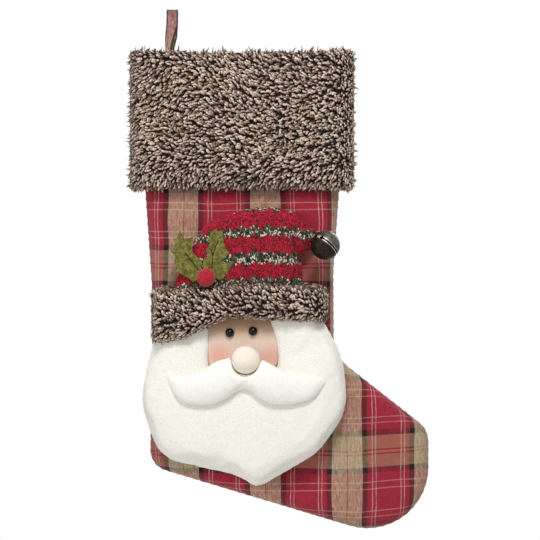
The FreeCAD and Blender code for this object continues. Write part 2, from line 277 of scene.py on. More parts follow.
def open_chain(loop, top):
    """The way round a bag's rim, from one end of the mouth to the other."""
    at_top = loop[:, 1] > top - 2e-5
    count = len(loop)
    ways = []
    for i in range(count):
        if at_top[i] and not at_top[(i + 1) % count]:
            step = i + 1
            while not at_top[step % count]:
                step += 1
            ways.append(loop[np.arange(i, step + 1) % count])
    return anticlockwise(max(ways, key=lambda way: np.ptp(way[:, 0])))


def resampled(chain, spacing, closed):
    """Evenly spaced points along a chain."""
    if closed:
        chain = np.vstack([chain, chain[:1]])
    length = np.concatenate([[0], np.cumsum(np.linalg.norm(np.diff(chain, axis=0), axis=1))])
    count = max(3, round(length[-1] / spacing))
    stations = np.linspace(0, length[-1], count + 1)
    if closed:
        stations = stations[:-1]
    return np.column_stack([np.interp(stations, length, chain[:, i]) for i in (0, 1)])


def outward(chain, closed):
    """The outward normal at each point of an anticlockwise chain."""
    if closed:
        way = np.roll(chain, -1, axis=0) - np.roll(chain, 1, axis=0)
    else:
        way = np.gradient(chain, axis=0)
    return unit(np.column_stack([way[:, 1], -way[:, 0]]))


def nearest_on(chain, closed, points):
    """For each point, how far it is inside the chain, the way inwards and the distance along the chain."""
    ends = np.vstack([chain[1:], chain[:1]]) if closed else chain[1:]
    starts = chain[:len(ends)]
    way = ends - starts
    size = np.linalg.norm(way, axis=1)
    before = np.concatenate([[0], np.cumsum(size)[:-1]])
    depth, inwards, along = np.zeros(len(points)), np.zeros((len(points), 2)), np.zeros(len(points))
    for first in range(0, len(points), 2000):
        batch = points[first:first + 2000]
        offset = batch[:, None] - starts[None]
        t = np.clip(np.sum(offset * way[None], axis=2) / (size ** 2)[None], 0, 1)
        gap = offset - t[..., None] * way[None]
        nearest = np.argmin(np.sum(gap ** 2, axis=2), axis=1)
        rows = np.arange(len(batch))
        gap = gap[rows, nearest]
        side = way[nearest]
        cross = side[:, 0] * gap[:, 1] - side[:, 1] * gap[:, 0]
        sign = np.where(cross >= 0, 1.0, -1.0)
        distance = np.linalg.norm(gap, axis=1)
        left = unit(np.column_stack([-side[:, 1], side[:, 0]]))
        close = distance < 1e-7
        inwards[first:first + 2000] = np.where(close[:, None], left, unit(gap) * sign[:, None])
        depth[first:first + 2000] = distance * sign
        along[first:first + 2000] = before[nearest] + t[rows, nearest] * size[nearest]
    return depth, inwards, along


def filled(boundary, spacing):
    """Even triangles inside a closed boundary: the boundary's points come first."""
    low, high = boundary.min(0), boundary.max(0)
    rise = spacing * math.sqrt(3) / 2
    rows = int((high[1] - low[1]) / rise) + 2
    columns = int((high[0] - low[0]) / spacing) + 2
    grid = np.array([(low[0] + (column + (row % 2) / 2) * spacing, low[1] + row * rise)
                     for row in range(rows) for column in range(columns)])
    depth = nearest_on(boundary, True, grid)[0]
    grid = grid[depth > spacing * 0.6]
    points = [Vector(p) for p in np.vstack([boundary, grid])]
    count = len(boundary)
    edges = [(i, (i + 1) % count) for i in range(count)]
    verts, _, faces, *_ = delaunay_2d_cdt(points, edges, [], 1, 1e-7, False)
    verts = np.array([tuple(vert) for vert in verts])
    faces = np.array([face for face in faces if len(face) == 3])
    inside = nearest_on(boundary, True, verts[faces].mean(axis=1))[0] > 0
    return verts, faces[inside]


class Rim:
    """The rounded side of a pillow: a quarter ellipse from the seam to the face."""

    def __init__(self, edge, height):
        angle = np.linspace(0, math.pi / 2, 200)
        self.inset = edge * (1 - np.cos(angle))
        self.rise = height * np.sin(angle)
        steps = np.hypot(np.diff(self.inset), np.diff(self.rise))
        self.length = np.concatenate([[0], np.cumsum(steps)])
        self.spare = self.length[-1] - edge

    def place(self, depth):
        """Inset and rise at this depth inside the outline as it lies flat."""
        along = depth + self.spare
        past = np.maximum(along - self.length[-1], 0)
        inset = np.interp(along, self.length, self.inset) + past
        return inset, np.interp(along, self.length, self.rise)


# ---------------- padded pieces

def swell(obj, pressure, travel, frames=20):
    """Blows a closed cloth skin up for a moment, and lets no point go further than travel."""
    start = points_of(obj)
    cloth = obj.modifiers.new("Fill", "CLOTH")
    settings = cloth.settings
    values = {"quality": 5, "mass": 0.3, "tension_stiffness": 12, "compression_stiffness": 12,
              "shear_stiffness": 6, "bending_stiffness": 0.4, "use_pressure": True,
              "uniform_pressure_force": pressure}
    for name, value in values.items():
        setattr(settings, name, value)
    settings.effector_weights.gravity = 0
    cloth.collision_settings.use_collision = False
    cloth.collision_settings.use_self_collision = False
    scene = bpy.context.scene
    for number in range(1, frames + 1):
        scene.frame_set(number)
    keep_modifiers(obj)
    scene.frame_set(1)
    move = points_of(obj) - start
    distance = np.linalg.norm(move, axis=1)
    limited = travel * np.tanh(distance / travel) / np.maximum(distance, 1e-9)
    scale = np.where(distance > travel, limited, 1.0)
    set_points(obj, start + move * np.minimum(scale, 1.0)[:, None])


def pad(name, nodes, material, grid, let_out, pressure, travel, back=None, front=None, soften=4):
    """A stuffed piece: the CAD shape, swollen by its filling. It stays between the depths front and back."""
    obj = copy_of(name, nodes, [material])
    remeshed(obj, grid, soften)
    set_points(obj, points_of(obj) + normals_of(obj) * let_out)
    swell(obj, pressure, travel)
    finer = obj.modifiers.new("Finer", "SUBSURF")
    finer.levels = finer.render_levels = 1
    keep_modifiers(obj)
    if back is not None:
        points = points_of(obj)
        points[:, 1] = np.clip(points[:, 1], front, back)
        set_points(obj, points)
    return obj


def dressed(piece, slot, fill, *nodes):
    """Hides the CAD nodes that a padded piece stands in for, and hangs the piece on the stocking."""
    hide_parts(*nodes)
    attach(piece, "stocking")


def trimmed(obj, loop, margin):
    """Brings whatever stands past an outline, less a margin, back inside it."""
    points = points_of(obj)
    depth, inwards, _ = nearest_on(loop, True, points[:, [0, 2]])
    points[:, [0, 2]] += inwards * np.clip(margin - depth, 0, None)[:, None]
    set_points(obj, points)


def nap(obj, height, scale, seed):
    """Small lumps in the surface of a fleece or felt."""
    points = points_of(obj)
    lumps = lattice_noise(points, scale, seed) + 0.5 * lattice_noise(points, scale / 2.3, seed + 1)
    set_points(obj, points + normals_of(obj) * (height * lumps)[:, None])


# ---------------- materials

def srgb(red, green, blue):
    """A colour given as on a screen, 0 to 255, as the renderer's own numbers."""
    values = [c / 255 for c in (red, green, blue)]
    return [c / 12.92 if c <= 0.04045 else ((c + 0.055) / 1.055) ** 2.4 for c in values] + [1.0]


WHITE = (255, 255, 255)


class Material:
    """A Principled material and short ways to add nodes to it."""

    def __init__(self, name, colour, roughness=0.85, **sockets):
        self.material = bpy.data.materials.new(name)
        self.material.use_nodes = True
        self.tree = self.material.node_tree
        self.shader = self.tree.nodes["Principled BSDF"]
        self.shader.inputs["Base Color"].default_value = srgb(*colour)
        self.shader.inputs["Roughness"].default_value = roughness
        self.shader.inputs["Specular IOR Level"].default_value = 0.25
        for socket, value in sockets.items():
            self.shader.inputs[socket.replace("_", " ")].default_value = value
        self.material.diffuse_color = srgb(*colour)

    def node(self, kind, inputs=(), **settings):
        made = self.tree.nodes.new(kind)
        for key, value in settings.items():
            setattr(made, key, value)
        for socket, value in dict(inputs).items():
            if isinstance(value, bpy.types.NodeSocket):
                self.tree.links.new(value, made.inputs[socket])
            else:
                made.inputs[socket].default_value = value
        return made

    def math(self, operation, a, b=0.0, c=0.0):
        return self.node("ShaderNodeMath", {0: a, 1: b, 2: c}, operation=operation).outputs[0]

    def vector(self, operation, a, b, output="Value"):
        return self.node("ShaderNodeVectorMath", {0: a, 1: b}, operation=operation).outputs[output]

    def place(self):
        """Where the surface point is on the object, in metres."""
        return self.node("ShaderNodeTexCoord").outputs["Object"]

    def kept(self, name):
        """What mark() kept for each vertex."""
        return self.node("ShaderNodeAttribute", attribute_name=name).outputs

    def noise(self, scale, detail=3.0, stretch=None, roughness=0.55, where=None):
        """Noise with features about scale metres across, from 0 to 1."""
        where = where or self.place()
        if stretch is not None:
            where = self.node("ShaderNodeMapping", {"Vector": where, "Scale": stretch}).outputs[0]
        inputs = {"Vector": where, "Scale": 1 / scale, "Detail": detail, "Roughness": roughness}
        return self.node("ShaderNodeTexNoise", inputs).outputs["Fac"]

    def ramp(self, factor, stops, interpolation="LINEAR"):
        """Colours at positions from 0 to 1."""
        made = self.node("ShaderNodeValToRGB", {"Fac": factor})
        made.color_ramp.interpolation = interpolation
        elements = made.color_ramp.elements
        while len(elements) > 1:
            elements.remove(elements[-1])
        elements[0].position = stops[0][0]
        for i, (position, colour) in enumerate(stops):
            (elements.new(position) if i else elements[0]).color = srgb(*colour)
        return made.outputs["Color"]

    def mix(self, factor, a, b, blend="MIX"):
        inputs = {0: factor, 6: a, 7: b}
        return self.node("ShaderNodeMix", inputs, data_type="RGBA", blend_type=blend).outputs[2]

    def span(self, value, low, high, to_low, to_high):
        """A value's range, moved to another range."""
        inputs = {"Value": value, "From Min": low, "From Max": high, "To Min": to_low, "To Max": to_high}
        return self.node("ShaderNodeMapRange", inputs).outputs[0]

    def colour(self, socket):
        self.tree.links.new(socket, self.shader.inputs["Base Color"])

    def uneven(self, scale, low, high, detail=3.0):
        """Roughness that wanders between low and high."""
        rough = self.span(self.noise(scale, detail), 0.3, 0.7, low, high)
        self.tree.links.new(rough, self.shader.inputs["Roughness"])

    def grain(self, scale, height, strength=0.6, detail=3.0, stretch=None, roughness=0.55):
        """Bump from noise."""
        self.bump(self.noise(scale, detail, stretch, roughness), height, strength)

    def shade(self, factor, start, dark, end):
        """Grey at the start, up to white at the end."""
        return self.ramp(factor, [(start, (dark, dark, dark)), (end, WHITE)])

    def bump(self, height, distance, strength=1.0):
        inputs = {"Height": height, "Distance": distance, "Strength": strength}
        if self.shader.inputs["Normal"].is_linked:
            inputs["Normal"] = self.shader.inputs["Normal"].links[0].from_socket
        self.tree.links.new(self.node("ShaderNodeBump", inputs).outputs[0], self.shader.inputs["Normal"])


RED = (198, 38, 66)
TAN_WARP = (228, 204, 168)
TAN_WEFT = (210, 178, 142)
DARK = (30, 32, 22)
CREAM = (240, 196, 184)
# Where each band starts, in millimetres, within one repeat of the check.
WARP_REPEAT = 81.5 * MM
WEFT_REPEAT = 93 * MM
WARP_START = -3 * MM
WEFT_START = -240 * MM
WARP = [(0, TAN_WARP), (1.2, CREAM), (2.2, TAN_WARP), (14.4, RED), (15.2, TAN_WARP), (27.2, CREAM),
        (28.3, TAN_WARP), (29.3, DARK), (34.7, RED), (39.0, CREAM), (40.0, RED), (42.6, CREAM), (43.6, RED),
        (67.2, CREAM), (68.2, RED), (70.8, CREAM), (71.8, RED), (76.3, DARK)]
WEFT = [(0, TAN_WEFT), (13.2, RED), (14.6, TAN_WEFT), (17.2, RED), (18.6, TAN_WEFT), (31, DARK),
        (36.5, RED), (45.5, CREAM), (46.6, RED), (52.5, CREAM), (53.6, RED), (73.5, CREAM), (74.6, RED),
        (79.5, CREAM), (80.6, RED), (87, DARK)]
THREAD_PITCH = 1.15 * MM
SLANT_FROM = 0.185
SLANT = -0.075
DRIFT = 0.0045


def plaid():
    """Woven check: warp bands along each panel and weft bands across it, mixed thread by thread in a twill."""
    made = Material("plaid", RED, 0.92, Sheen_Weight=0.15, Sheen_Roughness=0.6)
    cloth = made.kept("cloth")["Vector"]
    xyz = made.node("ShaderNodeSeparateXYZ", {0: cloth}).outputs
    sway = made.math("SUBTRACT", made.noise(0.05, 1.0, where=cloth), 0.5)
    drift = made.math("SUBTRACT", made.noise(0.07, 1.0, stretch=(1, 1, 1.7), where=cloth), 0.5)
    x = made.math("MULTIPLY_ADD", sway, DRIFT, xyz["X"])
    beyond = made.math("MAXIMUM", made.math("SUBTRACT", xyz["X"], SLANT_FROM), 0.0)
    z = made.math("MULTIPLY_ADD", beyond, SLANT, xyz["Z"])
    z = made.math("MULTIPLY_ADD", drift, DRIFT, z)
    across = made.math("SUBTRACT", x, WARP_START)
    down = made.math("SUBTRACT", WEFT_START, z)
    colours = []
    for value, repeat, bands in ((across, WARP_REPEAT, WARP), (down, WEFT_REPEAT, WEFT)):
        place = made.math("FRACT", made.math("DIVIDE", value, repeat))
        stops = [(position * MM / repeat, colour) for position, colour in bands]
        colours.append(made.ramp(place, stops, "CONSTANT"))
    diagonal = made.math("DIVIDE", made.math("ADD", x, z), THREAD_PITCH * 2)
    twill = made.math("SMOOTH_MAX", made.math("SINE", made.math("MULTIPLY", diagonal, math.tau)), -0.4, 0.3)
    warp_slub, weft_slub = (made.noise(1.5 * MM, 2.0, stretch=stretch, roughness=0.7, where=cloth)
                            for stretch in ((1, 1, 0.18), (0.25, 1, 1)))
    share = made.span(twill, -0.4, 1, 0.30, 0.50)
    share = made.math("ADD", share, made.span(warp_slub, 0.3, 0.7, 0.22, -0.20))
    share = made.math("ADD", share, made.span(weft_slub, 0.3, 0.7, -0.12, 0.14))
    weave = made.mix(share, colours[0], colours[1])
    # Painted shade: the cloth darkens towards the seam, where each panel rounds over to the other side.
    seam_shade = made.span(made.kept("seam")["Fac"], 0, 6 * MM, 0, 1)
    for layer in (made.shade(made.noise(1.3 * MM, 3.0, where=cloth), 0.25, 196, 0.75),
                  made.shade(warp_slub, 0.3, 214, 0.6), made.shade(made.noise(0.08, 2.0), 0.3, 236, 0.7),
                  made.ramp(seam_shade, [(0, (120, 110, 108)), (1, WHITE)])):
        weave = made.mix(1.0, weave, layer, "MULTIPLY")
    made.colour(weave)
    for value in (x, z):
        ridge = made.math("SINE", made.math("MULTIPLY", value, math.tau / THREAD_PITCH))
        made.bump(ridge, 0.14 * MM, 0.5)
    made.grain(1.3 * MM, 0.3 * MM)
    return made.material


def lining_cloth():
    made = Material("lining_cloth", (222, 212, 192), 0.9)
    made.colour(made.ramp(made.noise(0.9 * MM, 3.0), [(0.3, (205, 194, 172)), (0.7, (232, 223, 205))]))
    made.grain(0.9 * MM, 0.2 * MM)
    return made.material


def fleece(name, colour, shade, grain=1.1 * MM, height=0.35 * MM):
    """Short napped pile: soft lumps, a fine grain and a light sheen."""
    made = Material(name, colour, 0.95, Sheen_Weight=0.35, Sheen_Roughness=0.5)
    made.colour(made.ramp(made.noise(grain, 4.0, roughness=0.7), [(0.28, shade), (0.55, colour)]))
    made.grain(grain, height, 0.55, 4.0, roughness=0.7)
    made.grain(4.5 * MM, 0.5 * MM, 0.35, 2.0)
    return made.material


FUR_TONES = [(34, 22, 20), (60, 42, 36), (104, 83, 72), (158, 134, 118), (208, 186, 168), (232, 216, 200)]


YARN_TONES = {"red": (190, 26, 50), "deep_red": (128, 16, 36), "green": (98, 106, 76),
              "deep_green": (52, 58, 44), "cream": (216, 208, 190), "black": (36, 32, 30)}


def plain(name, colour, roughness, grain=None, uneven=None, **sockets):
    """One colour with a grain and an uneven gloss: see Material.grain and Material.uneven."""
    made = Material(name, colour, roughness, **sockets)
    if grain:
        made.grain(*grain)
    if uneven:
        made.uneven(*uneven)
    return made.material


def skin_cloth():
    """Skin-coloured cloth, blushed at the cheeks, with a painted shadow of the hat's brim browning its top and
    a brown line along its edge that is partly seam and partly painted shade of the fold.
    """
    made = Material("skin_cloth", (230, 204, 184), 0.8, Sheen_Weight=0.1)
    low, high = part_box("face_patch")
    top = made.node("ShaderNodeSeparateXYZ", {0: made.place()}).outputs["Z"]
    # Painted shadow of the hat's brim: the top of the face is browned.
    brim_shadow = made.span(top, high.z - 26 * MM, high.z - 8 * MM, 0, 1)
    base = made.ramp(brim_shadow, [(0, (234, 210, 192)), (1, (178, 142, 110))])
    cheek_z = low.z + 0.27 * (high.z - low.z)
    for x in (low.x + 0.17 * (high.x - low.x), high.x - 0.09 * (high.x - low.x)):
        distance = made.vector("DISTANCE", made.place(), (x, low.y, cheek_z))
        blush = made.span(distance, 4 * MM, 15 * MM, 0.75, 0.0)
        base = made.mix(blush, base, srgb(240, 176, 158))
    # Brown along the patch's edge: partly the seam line, partly painted shade of the fold where the patch meets
    # the beard.
    seam = made.span(made.kept("edge")["Fac"], 0.4 * MM, 2.0 * MM, 0.75, 0.0)
    base = made.mix(seam, base, srgb(150, 104, 80))
    weave = made.shade(made.noise(0.7 * MM, 2.0), 0.3, 238, 0.7)
    made.colour(made.mix(1.0, base, weave, "MULTIPLY"))
    made.grain(0.7 * MM, 0.12 * MM, 0.5, 2.0)
    return made.material


def felt(name, colour, light, dark):
    """Pressed felt: fibres in every direction and a mottled dye."""
    made = Material(name, colour, 0.95, Sheen_Weight=0.2, Sheen_Roughness=0.6)
    dye = made.ramp(made.noise(4 * MM, 3.0), [(0.35, dark), (0.5, colour), (0.66, light)])
    fibres = made.noise(0.9 * MM, 4.0, roughness=0.75)
    fibres = made.ramp(fibres, [(0.35, (170, 168, 160)), (0.6, WHITE)])
    made.colour(made.mix(1.0, dye, fibres, "MULTIPLY"))
    made.grain(0.8 * MM, 0.3 * MM, 0.6, 4.0, roughness=0.7)
    return made.material


def bell_shape():
    """The bell's middle, the way from it to the lower shell's pole and the way across the slot."""
    boxes = [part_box(node) for node in ("bell_lower_shell", "bell_upper_shell")]
    middle = Vector([(min(box[0][i] for box in boxes) + max(box[1][i] for box in boxes)) / 2 for i in range(3)])
    pole = (sum(boxes[0], Vector()) / 2 - middle).normalized()
    # Most of the shell's narrow walls that aren't round face across the slot.
    spread = np.zeros((3, 3))
    for face in NODES["bell_lower_shell"].data.polygons:
        radial = (face.center - middle).normalized()
        if abs(face.normal.dot(radial)) < 0.3 and abs(face.normal.dot(pole)) < 0.5:
            normal = np.array(face.normal)
            spread += face.area * np.outer(normal, normal)
    return middle, pole, list(np.linalg.eigh(spread)[1][:, 2])


def bell_metal():
    """Blackened brass with a mottled dark finish, a painted highlight that pales its upper right, and the
    slot's edges worn bright on the lower shell's side, partly real wear and partly a painted glint.
    """
    made = Material("bell_metal", (62, 58, 52), 0.4, Metallic=0.8)
    middle, pole, across = bell_shape()
    offset = made.vector("SUBTRACT", made.place(), middle, 0)

    def along(way):
        return made.vector("DOT_PRODUCT", offset, way)

    patina_and_highlight = made.ramp(made.noise(5 * MM, 4.0, roughness=0.65),
                       [(0.3, (34, 27, 22)), (0.55, (54, 46, 39)), (0.75, (82, 74, 66))])
    # Painted highlight: the metal turns pale towards the upper right, the side the key lamp lights.
    painted_highlight_grey = made.ramp(made.noise(2.5 * MM, 4.0), [(0.3, (96, 92, 82)), (0.7, (156, 150, 138))])
    patina_and_highlight = made.mix(made.span(along((0.7, 0, 0.7)), 3 * MM, 9 * MM, 0.0, 0.85), patina_and_highlight, painted_highlight_grey)
    # Near the slot on the lower shell's side the metal is painted near white: partly worn metal, partly a
    # painted glint.
    near_slot = made.span(made.math("ABSOLUTE", along(across)), 1.0 * MM, 2.0 * MM, 1.0, 0.0)
    rubbed_and_glint = made.math("MULTIPLY", near_slot, made.span(along(pole), 3 * MM, 5 * MM, 0.0, 1.0))
    rubbed_and_glint = made.math("MULTIPLY", rubbed_and_glint, made.span(made.noise(2 * MM), 0.35, 0.55, 0.45, 1.0))
    made.colour(made.mix(rubbed_and_glint, patina_and_highlight, srgb(236, 230, 214)))
    made.uneven(3 * MM, 0.32, 0.55)
    made.grain(2.5 * MM, 0.15 * MM, 0.3)
    return made.material


def strap_cloth():
    """The check cut into a narrow strip, with a dark line along the edges: partly the check's dark band, partly
    painted shade where the strap's legs meet.
    """
    made = Material("strap_cloth", (150, 112, 100), 0.9, Sheen_Weight=0.1)
    z = made.node("ShaderNodeSeparateXYZ", {0: made.place()}).outputs["Z"]
    body = made.ramp(made.span(z, -0.044, 0.002, 0, 1), [(0.1, (206, 184, 160)), (0.4, (190, 150, 136)),
                                                         (0.8, (178, 130, 124)), (1.0, (132, 96, 84))])
    streak = made.noise(1.1 * MM, 3.0, stretch=(1, 1, 0.3))
    streak = made.ramp(streak, [(0.3, (150, 144, 138)), (0.62, WHITE)])
    cloth = made.mix(1.0, body, streak, "MULTIPLY")
    # Dark along the edges: partly the check's dark band, partly painted shade where the legs meet.
    edge_band_and_shade = made.span(made.kept("edge")["Fac"], 0.25, 0.75, 0.0, 0.92)
    made.colour(made.mix(edge_band_and_shade, cloth, srgb(52, 32, 27)))
    made.grain(0.9 * MM, 0.25 * MM, 0.7, stretch=(1, 1, 0.5))
    return made.material


# Fur has one material for each tone along a lock, dark at the root and pale at the tip.
FUR = [plain(f"fur_tone_{i}", tone, 0.75, (0.5 * MM, 0.15 * MM, 0.6, 2.0), (1.5 * MM, 0.6, 0.9),
             Sheen_Weight=0.1) for i, tone in enumerate(FUR_TONES)]
YARN = [plain("yarn_" + name, tone, 0.9, (0.5 * MM, 0.2 * MM, 0.7, 2.0, (1, 1, 0.4)), (1.2 * MM, 0.78, 0.98),
              Sheen_Weight=0.08) for name, tone in YARN_TONES.items()]
PLAID = plaid()
LINING = lining_cloth()
BEARD_FLEECE = fleece("beard_fleece", (250, 249, 240), (228, 226, 214))
MOUSTACHE_FLEECE = fleece("moustache_fleece", (255, 254, 248), (238, 236, 228))
NOSE_FLEECE = fleece("nose_fleece", (254, 243, 228), (242, 220, 198), 0.8 * MM, 0.2 * MM)
SKIN = skin_cloth()
LEAF_FELT = felt("leaf_felt", (128, 124, 52), (156, 150, 78), (92, 92, 34))
BERRY_FELT = felt("berry_felt", (196, 16, 42), (212, 36, 58), (166, 8, 32))
BACKING_FELT = felt("backing_felt", (206, 200, 190), (220, 214, 206), (188, 182, 172))
THREAD_GRAIN = (0.4 * MM, 0.15 * MM, 0.7, 2.0, (1, 1, 0.3))
DARK_THREAD = plain("dark_thread", (30, 28, 22), 0.8, THREAD_GRAIN)
WHITE_THREAD = plain("white_thread", (240, 238, 228), 0.8, THREAD_GRAIN)
BEAD = plain("bead", (9, 8, 8), 0.12, None, (2 * MM, 0.08, 0.2), Coat_Weight=0.2, Coat_Roughness=0.05)
BELL_METAL = bell_metal()
STRAP = strap_cloth()
STEEL = plain("pellet_steel", (150, 148, 142), 0.3, (1 * MM, 0.3 * MM), (3 * MM, 0.22, 0.38), Metallic=1.0)


# ---------------- the stocking's two layers

RIM = 14 * MM
LINING_GAP = 1.7 * MM
PANEL_CLOTH = 1.12 * MM
LINING_CLOTH = 0.6 * MM
GATHER = 8.5 * MM
SEAM_REACH = 3.5 * MM
PUCKER_REACH = 9 * MM


def flat_area(flat, faces):
    """What the cloth measures before it is sewn."""
    a, b, c = (flat[faces[:, i]] for i in range(3))
    return float(np.abs((b - a)[:, 0] * (c - a)[:, 1] - (b - a)[:, 1] * (c - a)[:, 0]).sum() / 2)


def bag_layer(name, node, seam_y, face_y, edge, spacing, material, seam_pull, wave):
    """One side of a sewn bag: flat cloth brought over the rim from the seam, with a pull at the stitches."""
    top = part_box(node)[1].z
    chain = resampled(open_chain(outline(node, seam_y), top), spacing, False)
    rim = Rim(edge, abs(face_y - seam_y))
    side = math.copysign(1.0, face_y - seam_y)
    ring = chain + outward(chain, False) * rim.spare
    ring[0, 1] = ring[-1, 1] = top
    ring[:, 1] = np.minimum(ring[:, 1], top)
    count = round(abs(ring[0, 0] - ring[-1, 0]) / spacing)
    mouth = np.column_stack([np.linspace(ring[-1, 0], ring[0, 0], count + 1)[1:-1], np.full(count - 1, top)])
    flat, faces = filled(np.vstack([ring, mouth]), spacing)
    depth, inwards, along = nearest_on(chain, False, flat)
    inset, rise = rim.place(depth)
    from_seam = depth + rim.spare
    foot = flat - inwards * depth[:, None]
    points = upright(foot + inwards * inset[:, None], seam_y + side * rise)
    pull = seam_pull * np.exp(-from_seam / SEAM_REACH)
    gathers = np.sin(along / GATHER * math.tau + 2 * np.sin(along / (31 * MM)))
    pucker = wave * 0.45 * gathers * np.exp(-from_seam / PUCKER_REACH) * np.clip(from_seam / (3 * MM), 0, 1)
    points[:, [0, 2]] += inwards * (pull + pucker)[:, None]
    flatness = np.clip(from_seam / rim.length[-1], 0, 1) ** 2
    swell_out = wave * (1.3 * lattice_noise(points, 62 * MM, 11) + 0.5 * lattice_noise(points, 24 * MM, 12))
    points[:, 1] += side * swell_out * flatness
    if side > 0:
        faces = faces[:, ::-1]
    obj = new_object(name, points, faces, [material])
    mark(obj, "cloth", upright(flat))
    mark(obj, "seam", np.maximum(from_seam, 0))
    if np.mean(normals_of(obj)[:, 1] * side) < 0:
        obj.data.flip_normals()
    return obj, np.ptp(flat, axis=0), flat_area(flat, faces)


def thickened(obj, thickness):
    """Gives a cloth skin its thickness, inwards."""
    solid = obj.modifiers.new("Cloth", "SOLIDIFY")
    solid.thickness = thickness
    solid.offset = -1
    solid.use_rim = True
    keep_modifiers(obj)


def stocking():
    """The two plaid panels, and the two lining panels inside them."""
    seam_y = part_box("front_panel")[1].y
    for side, depth in (("front", 0), ("back", 1)):
        for name, node, inset, spacing, material, seam_pull, wave, thickness, slot in (
                ("stocking_", side + "_panel", RIM, 3.2 * MM, PLAID, 1.3 * MM, 1.0 * MM, PANEL_CLOTH, "plaid"),
                ("bag_lining_", "lining_" + side, RIM - LINING_GAP, 5 * MM, LINING, 0.4 * MM, 0.4 * MM,
                 LINING_CLOTH, "lining")):
            layer, flat, area = bag_layer(name + side, node, seam_y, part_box(node)[depth].y, inset, spacing,
                                          material, seam_pull, wave)
            thickened(layer, thickness)
            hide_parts(node)
            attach(layer, "stocking")


# ---------------- fur

def scattered(node, spacing, seed, tree, free_way):
    """Evenly spread points and normals on the faces of a CAD node that look out into the open."""
    shape = merged([node])
    bmesh.ops.triangulate(shape, faces=shape.faces)
    corners = np.array([[tuple(vert.co) for vert in face.verts] for face in shape.faces])
    normals = np.array([tuple(face.normal) for face in shape.faces])
    areas = np.array([face.calc_area() for face in shape.faces])
    shape.free()
    rng = np.random.default_rng(seed)
    tries = int(7 * areas.sum() / spacing ** 2)
    chosen = rng.choice(len(areas), tries, p=areas / areas.sum())
    a, b = rng.random(tries), rng.random(tries)
    fold = a + b > 1
    a[fold], b[fold] = 1 - a[fold], 1 - b[fold]
    base = corners[chosen]
    spots = base[:, 0] + a[:, None] * (base[:, 1] - base[:, 0]) + b[:, None] * (base[:, 2] - base[:, 0])
    ways = normals[chosen]
    taken, kept = {}, []
    for i, spot in enumerate(spots):
        cell = tuple(np.floor(spot / spacing).astype(int))
        near = [spots[j] for step in np.ndindex(3, 3, 3)
                for j in taken.get(tuple(at + by - 1 for at, by in zip(cell, step)), ())]
        if all(np.sum((spot - other) ** 2) > spacing ** 2 for other in near):
            taken.setdefault(cell, []).append(i)
            kept.append(i)
    spots, ways = spots[kept], ways[kept]
    clear = [tree.ray_cast(Vector(spot + way * 0.3 * MM), Vector(way), free_way)[0] is None
             for spot, way in zip(spots, ways)]
    return spots[clear], ways[clear]


SKIN_DEPTH = 3.0 * MM
MOUTH_DIP = 3.2 * MM
LOCK_SPACING = 2.3 * MM
PILE = 3.8 * MM
LOCK = 5.6 * MM
LOCK_WIDTH = 2.0 * MM
WISP = 6.5 * MM
WISP_WIDTH = 0.9 * MM


def locks(spots, ways, lean, seed, length=LOCK, width=LOCK_WIDTH, tones=(0, 3, 4), droop=0.16):
    """Locks of pile: each rises from its root and lies over along its lean, dark below, pale at the tip."""
    rng = np.random.default_rng(seed)
    count = len(spots)
    lean = unit(lean - ways * np.sum(lean * ways, axis=1, keepdims=True))
    sides = unit(np.cross(ways, lean))
    t = np.array([0, 0.42, 0.76, 1])
    reach = length * rng.uniform(0.6, 1.4, (count, 1))
    height = PILE * rng.uniform(0.8, 1.25, (count, 1))
    rise = height * (1 - (1 - t) ** 2.2)
    run = reach * t ** 1.25
    bend = rng.normal(0, droop, (count, 1)) * reach * t ** 2
    roots = spots - ways * PILE
    paths = (roots[:, None] + ways[:, None] * rise[..., None] + lean[:, None] * run[..., None]
             + sides[:, None] * bend[..., None])
    size = width * rng.uniform(0.75, 1.25, (count, 1))
    widths = size * np.array([0.7, 1.1, 1.05, 0.25])
    points, faces = strands(paths, sides, widths, widths * 0.72)
    tone = np.array(tones) + rng.choice([-1, 0, 0, 1], (count, 1)) - (ways[:, 2:] > 0.6)
    slots = strand_slots(np.clip(tone, 0, len(FUR_TONES) - 1))
    return points, faces, slots


def rim_wisps(node, spots, ways, seed):
    """Long thin dark hairs along the edges of a fur band, which stand out past it."""
    rng = np.random.default_rng(seed)
    low, high = (np.array(corner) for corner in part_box(node))
    middle, half = (low + high) / 2, (high - low) / 2
    offset = spots - middle
    from_edge = half - np.abs(offset)
    near = (from_edge[:, 0] < 7 * MM) | (from_edge[:, 2] < 7 * MM)
    keep = near & (rng.random(len(spots)) < 0.8)
    spots, ways, offset, from_edge = spots[keep], ways[keep], offset[keep], from_edge[keep]
    pull = np.exp(-from_edge / (6 * MM)) * np.sign(offset) * np.array([1, 0, 1])
    lean = unit(pull + rng.normal(0, 0.35, spots.shape))
    return locks(spots, ways, lean, seed + 1, WISP, WISP_WIDTH, (1, 1, 2), 0.3)


def mouth_dip(points, low, high):
    """The cuff's top edge hangs a little lower between its corners."""
    across = (2 * points[:, 0] - low.x - high.x) / (high.x - low.x)
    near_top = np.clip(1 - (high.z - points[:, 2]) / (40 * MM), 0, 1)
    dipped = points.copy()
    dipped[:, 2] -= MOUTH_DIP * near_top * np.clip(1 - across ** 2, 0, 1)
    return dipped


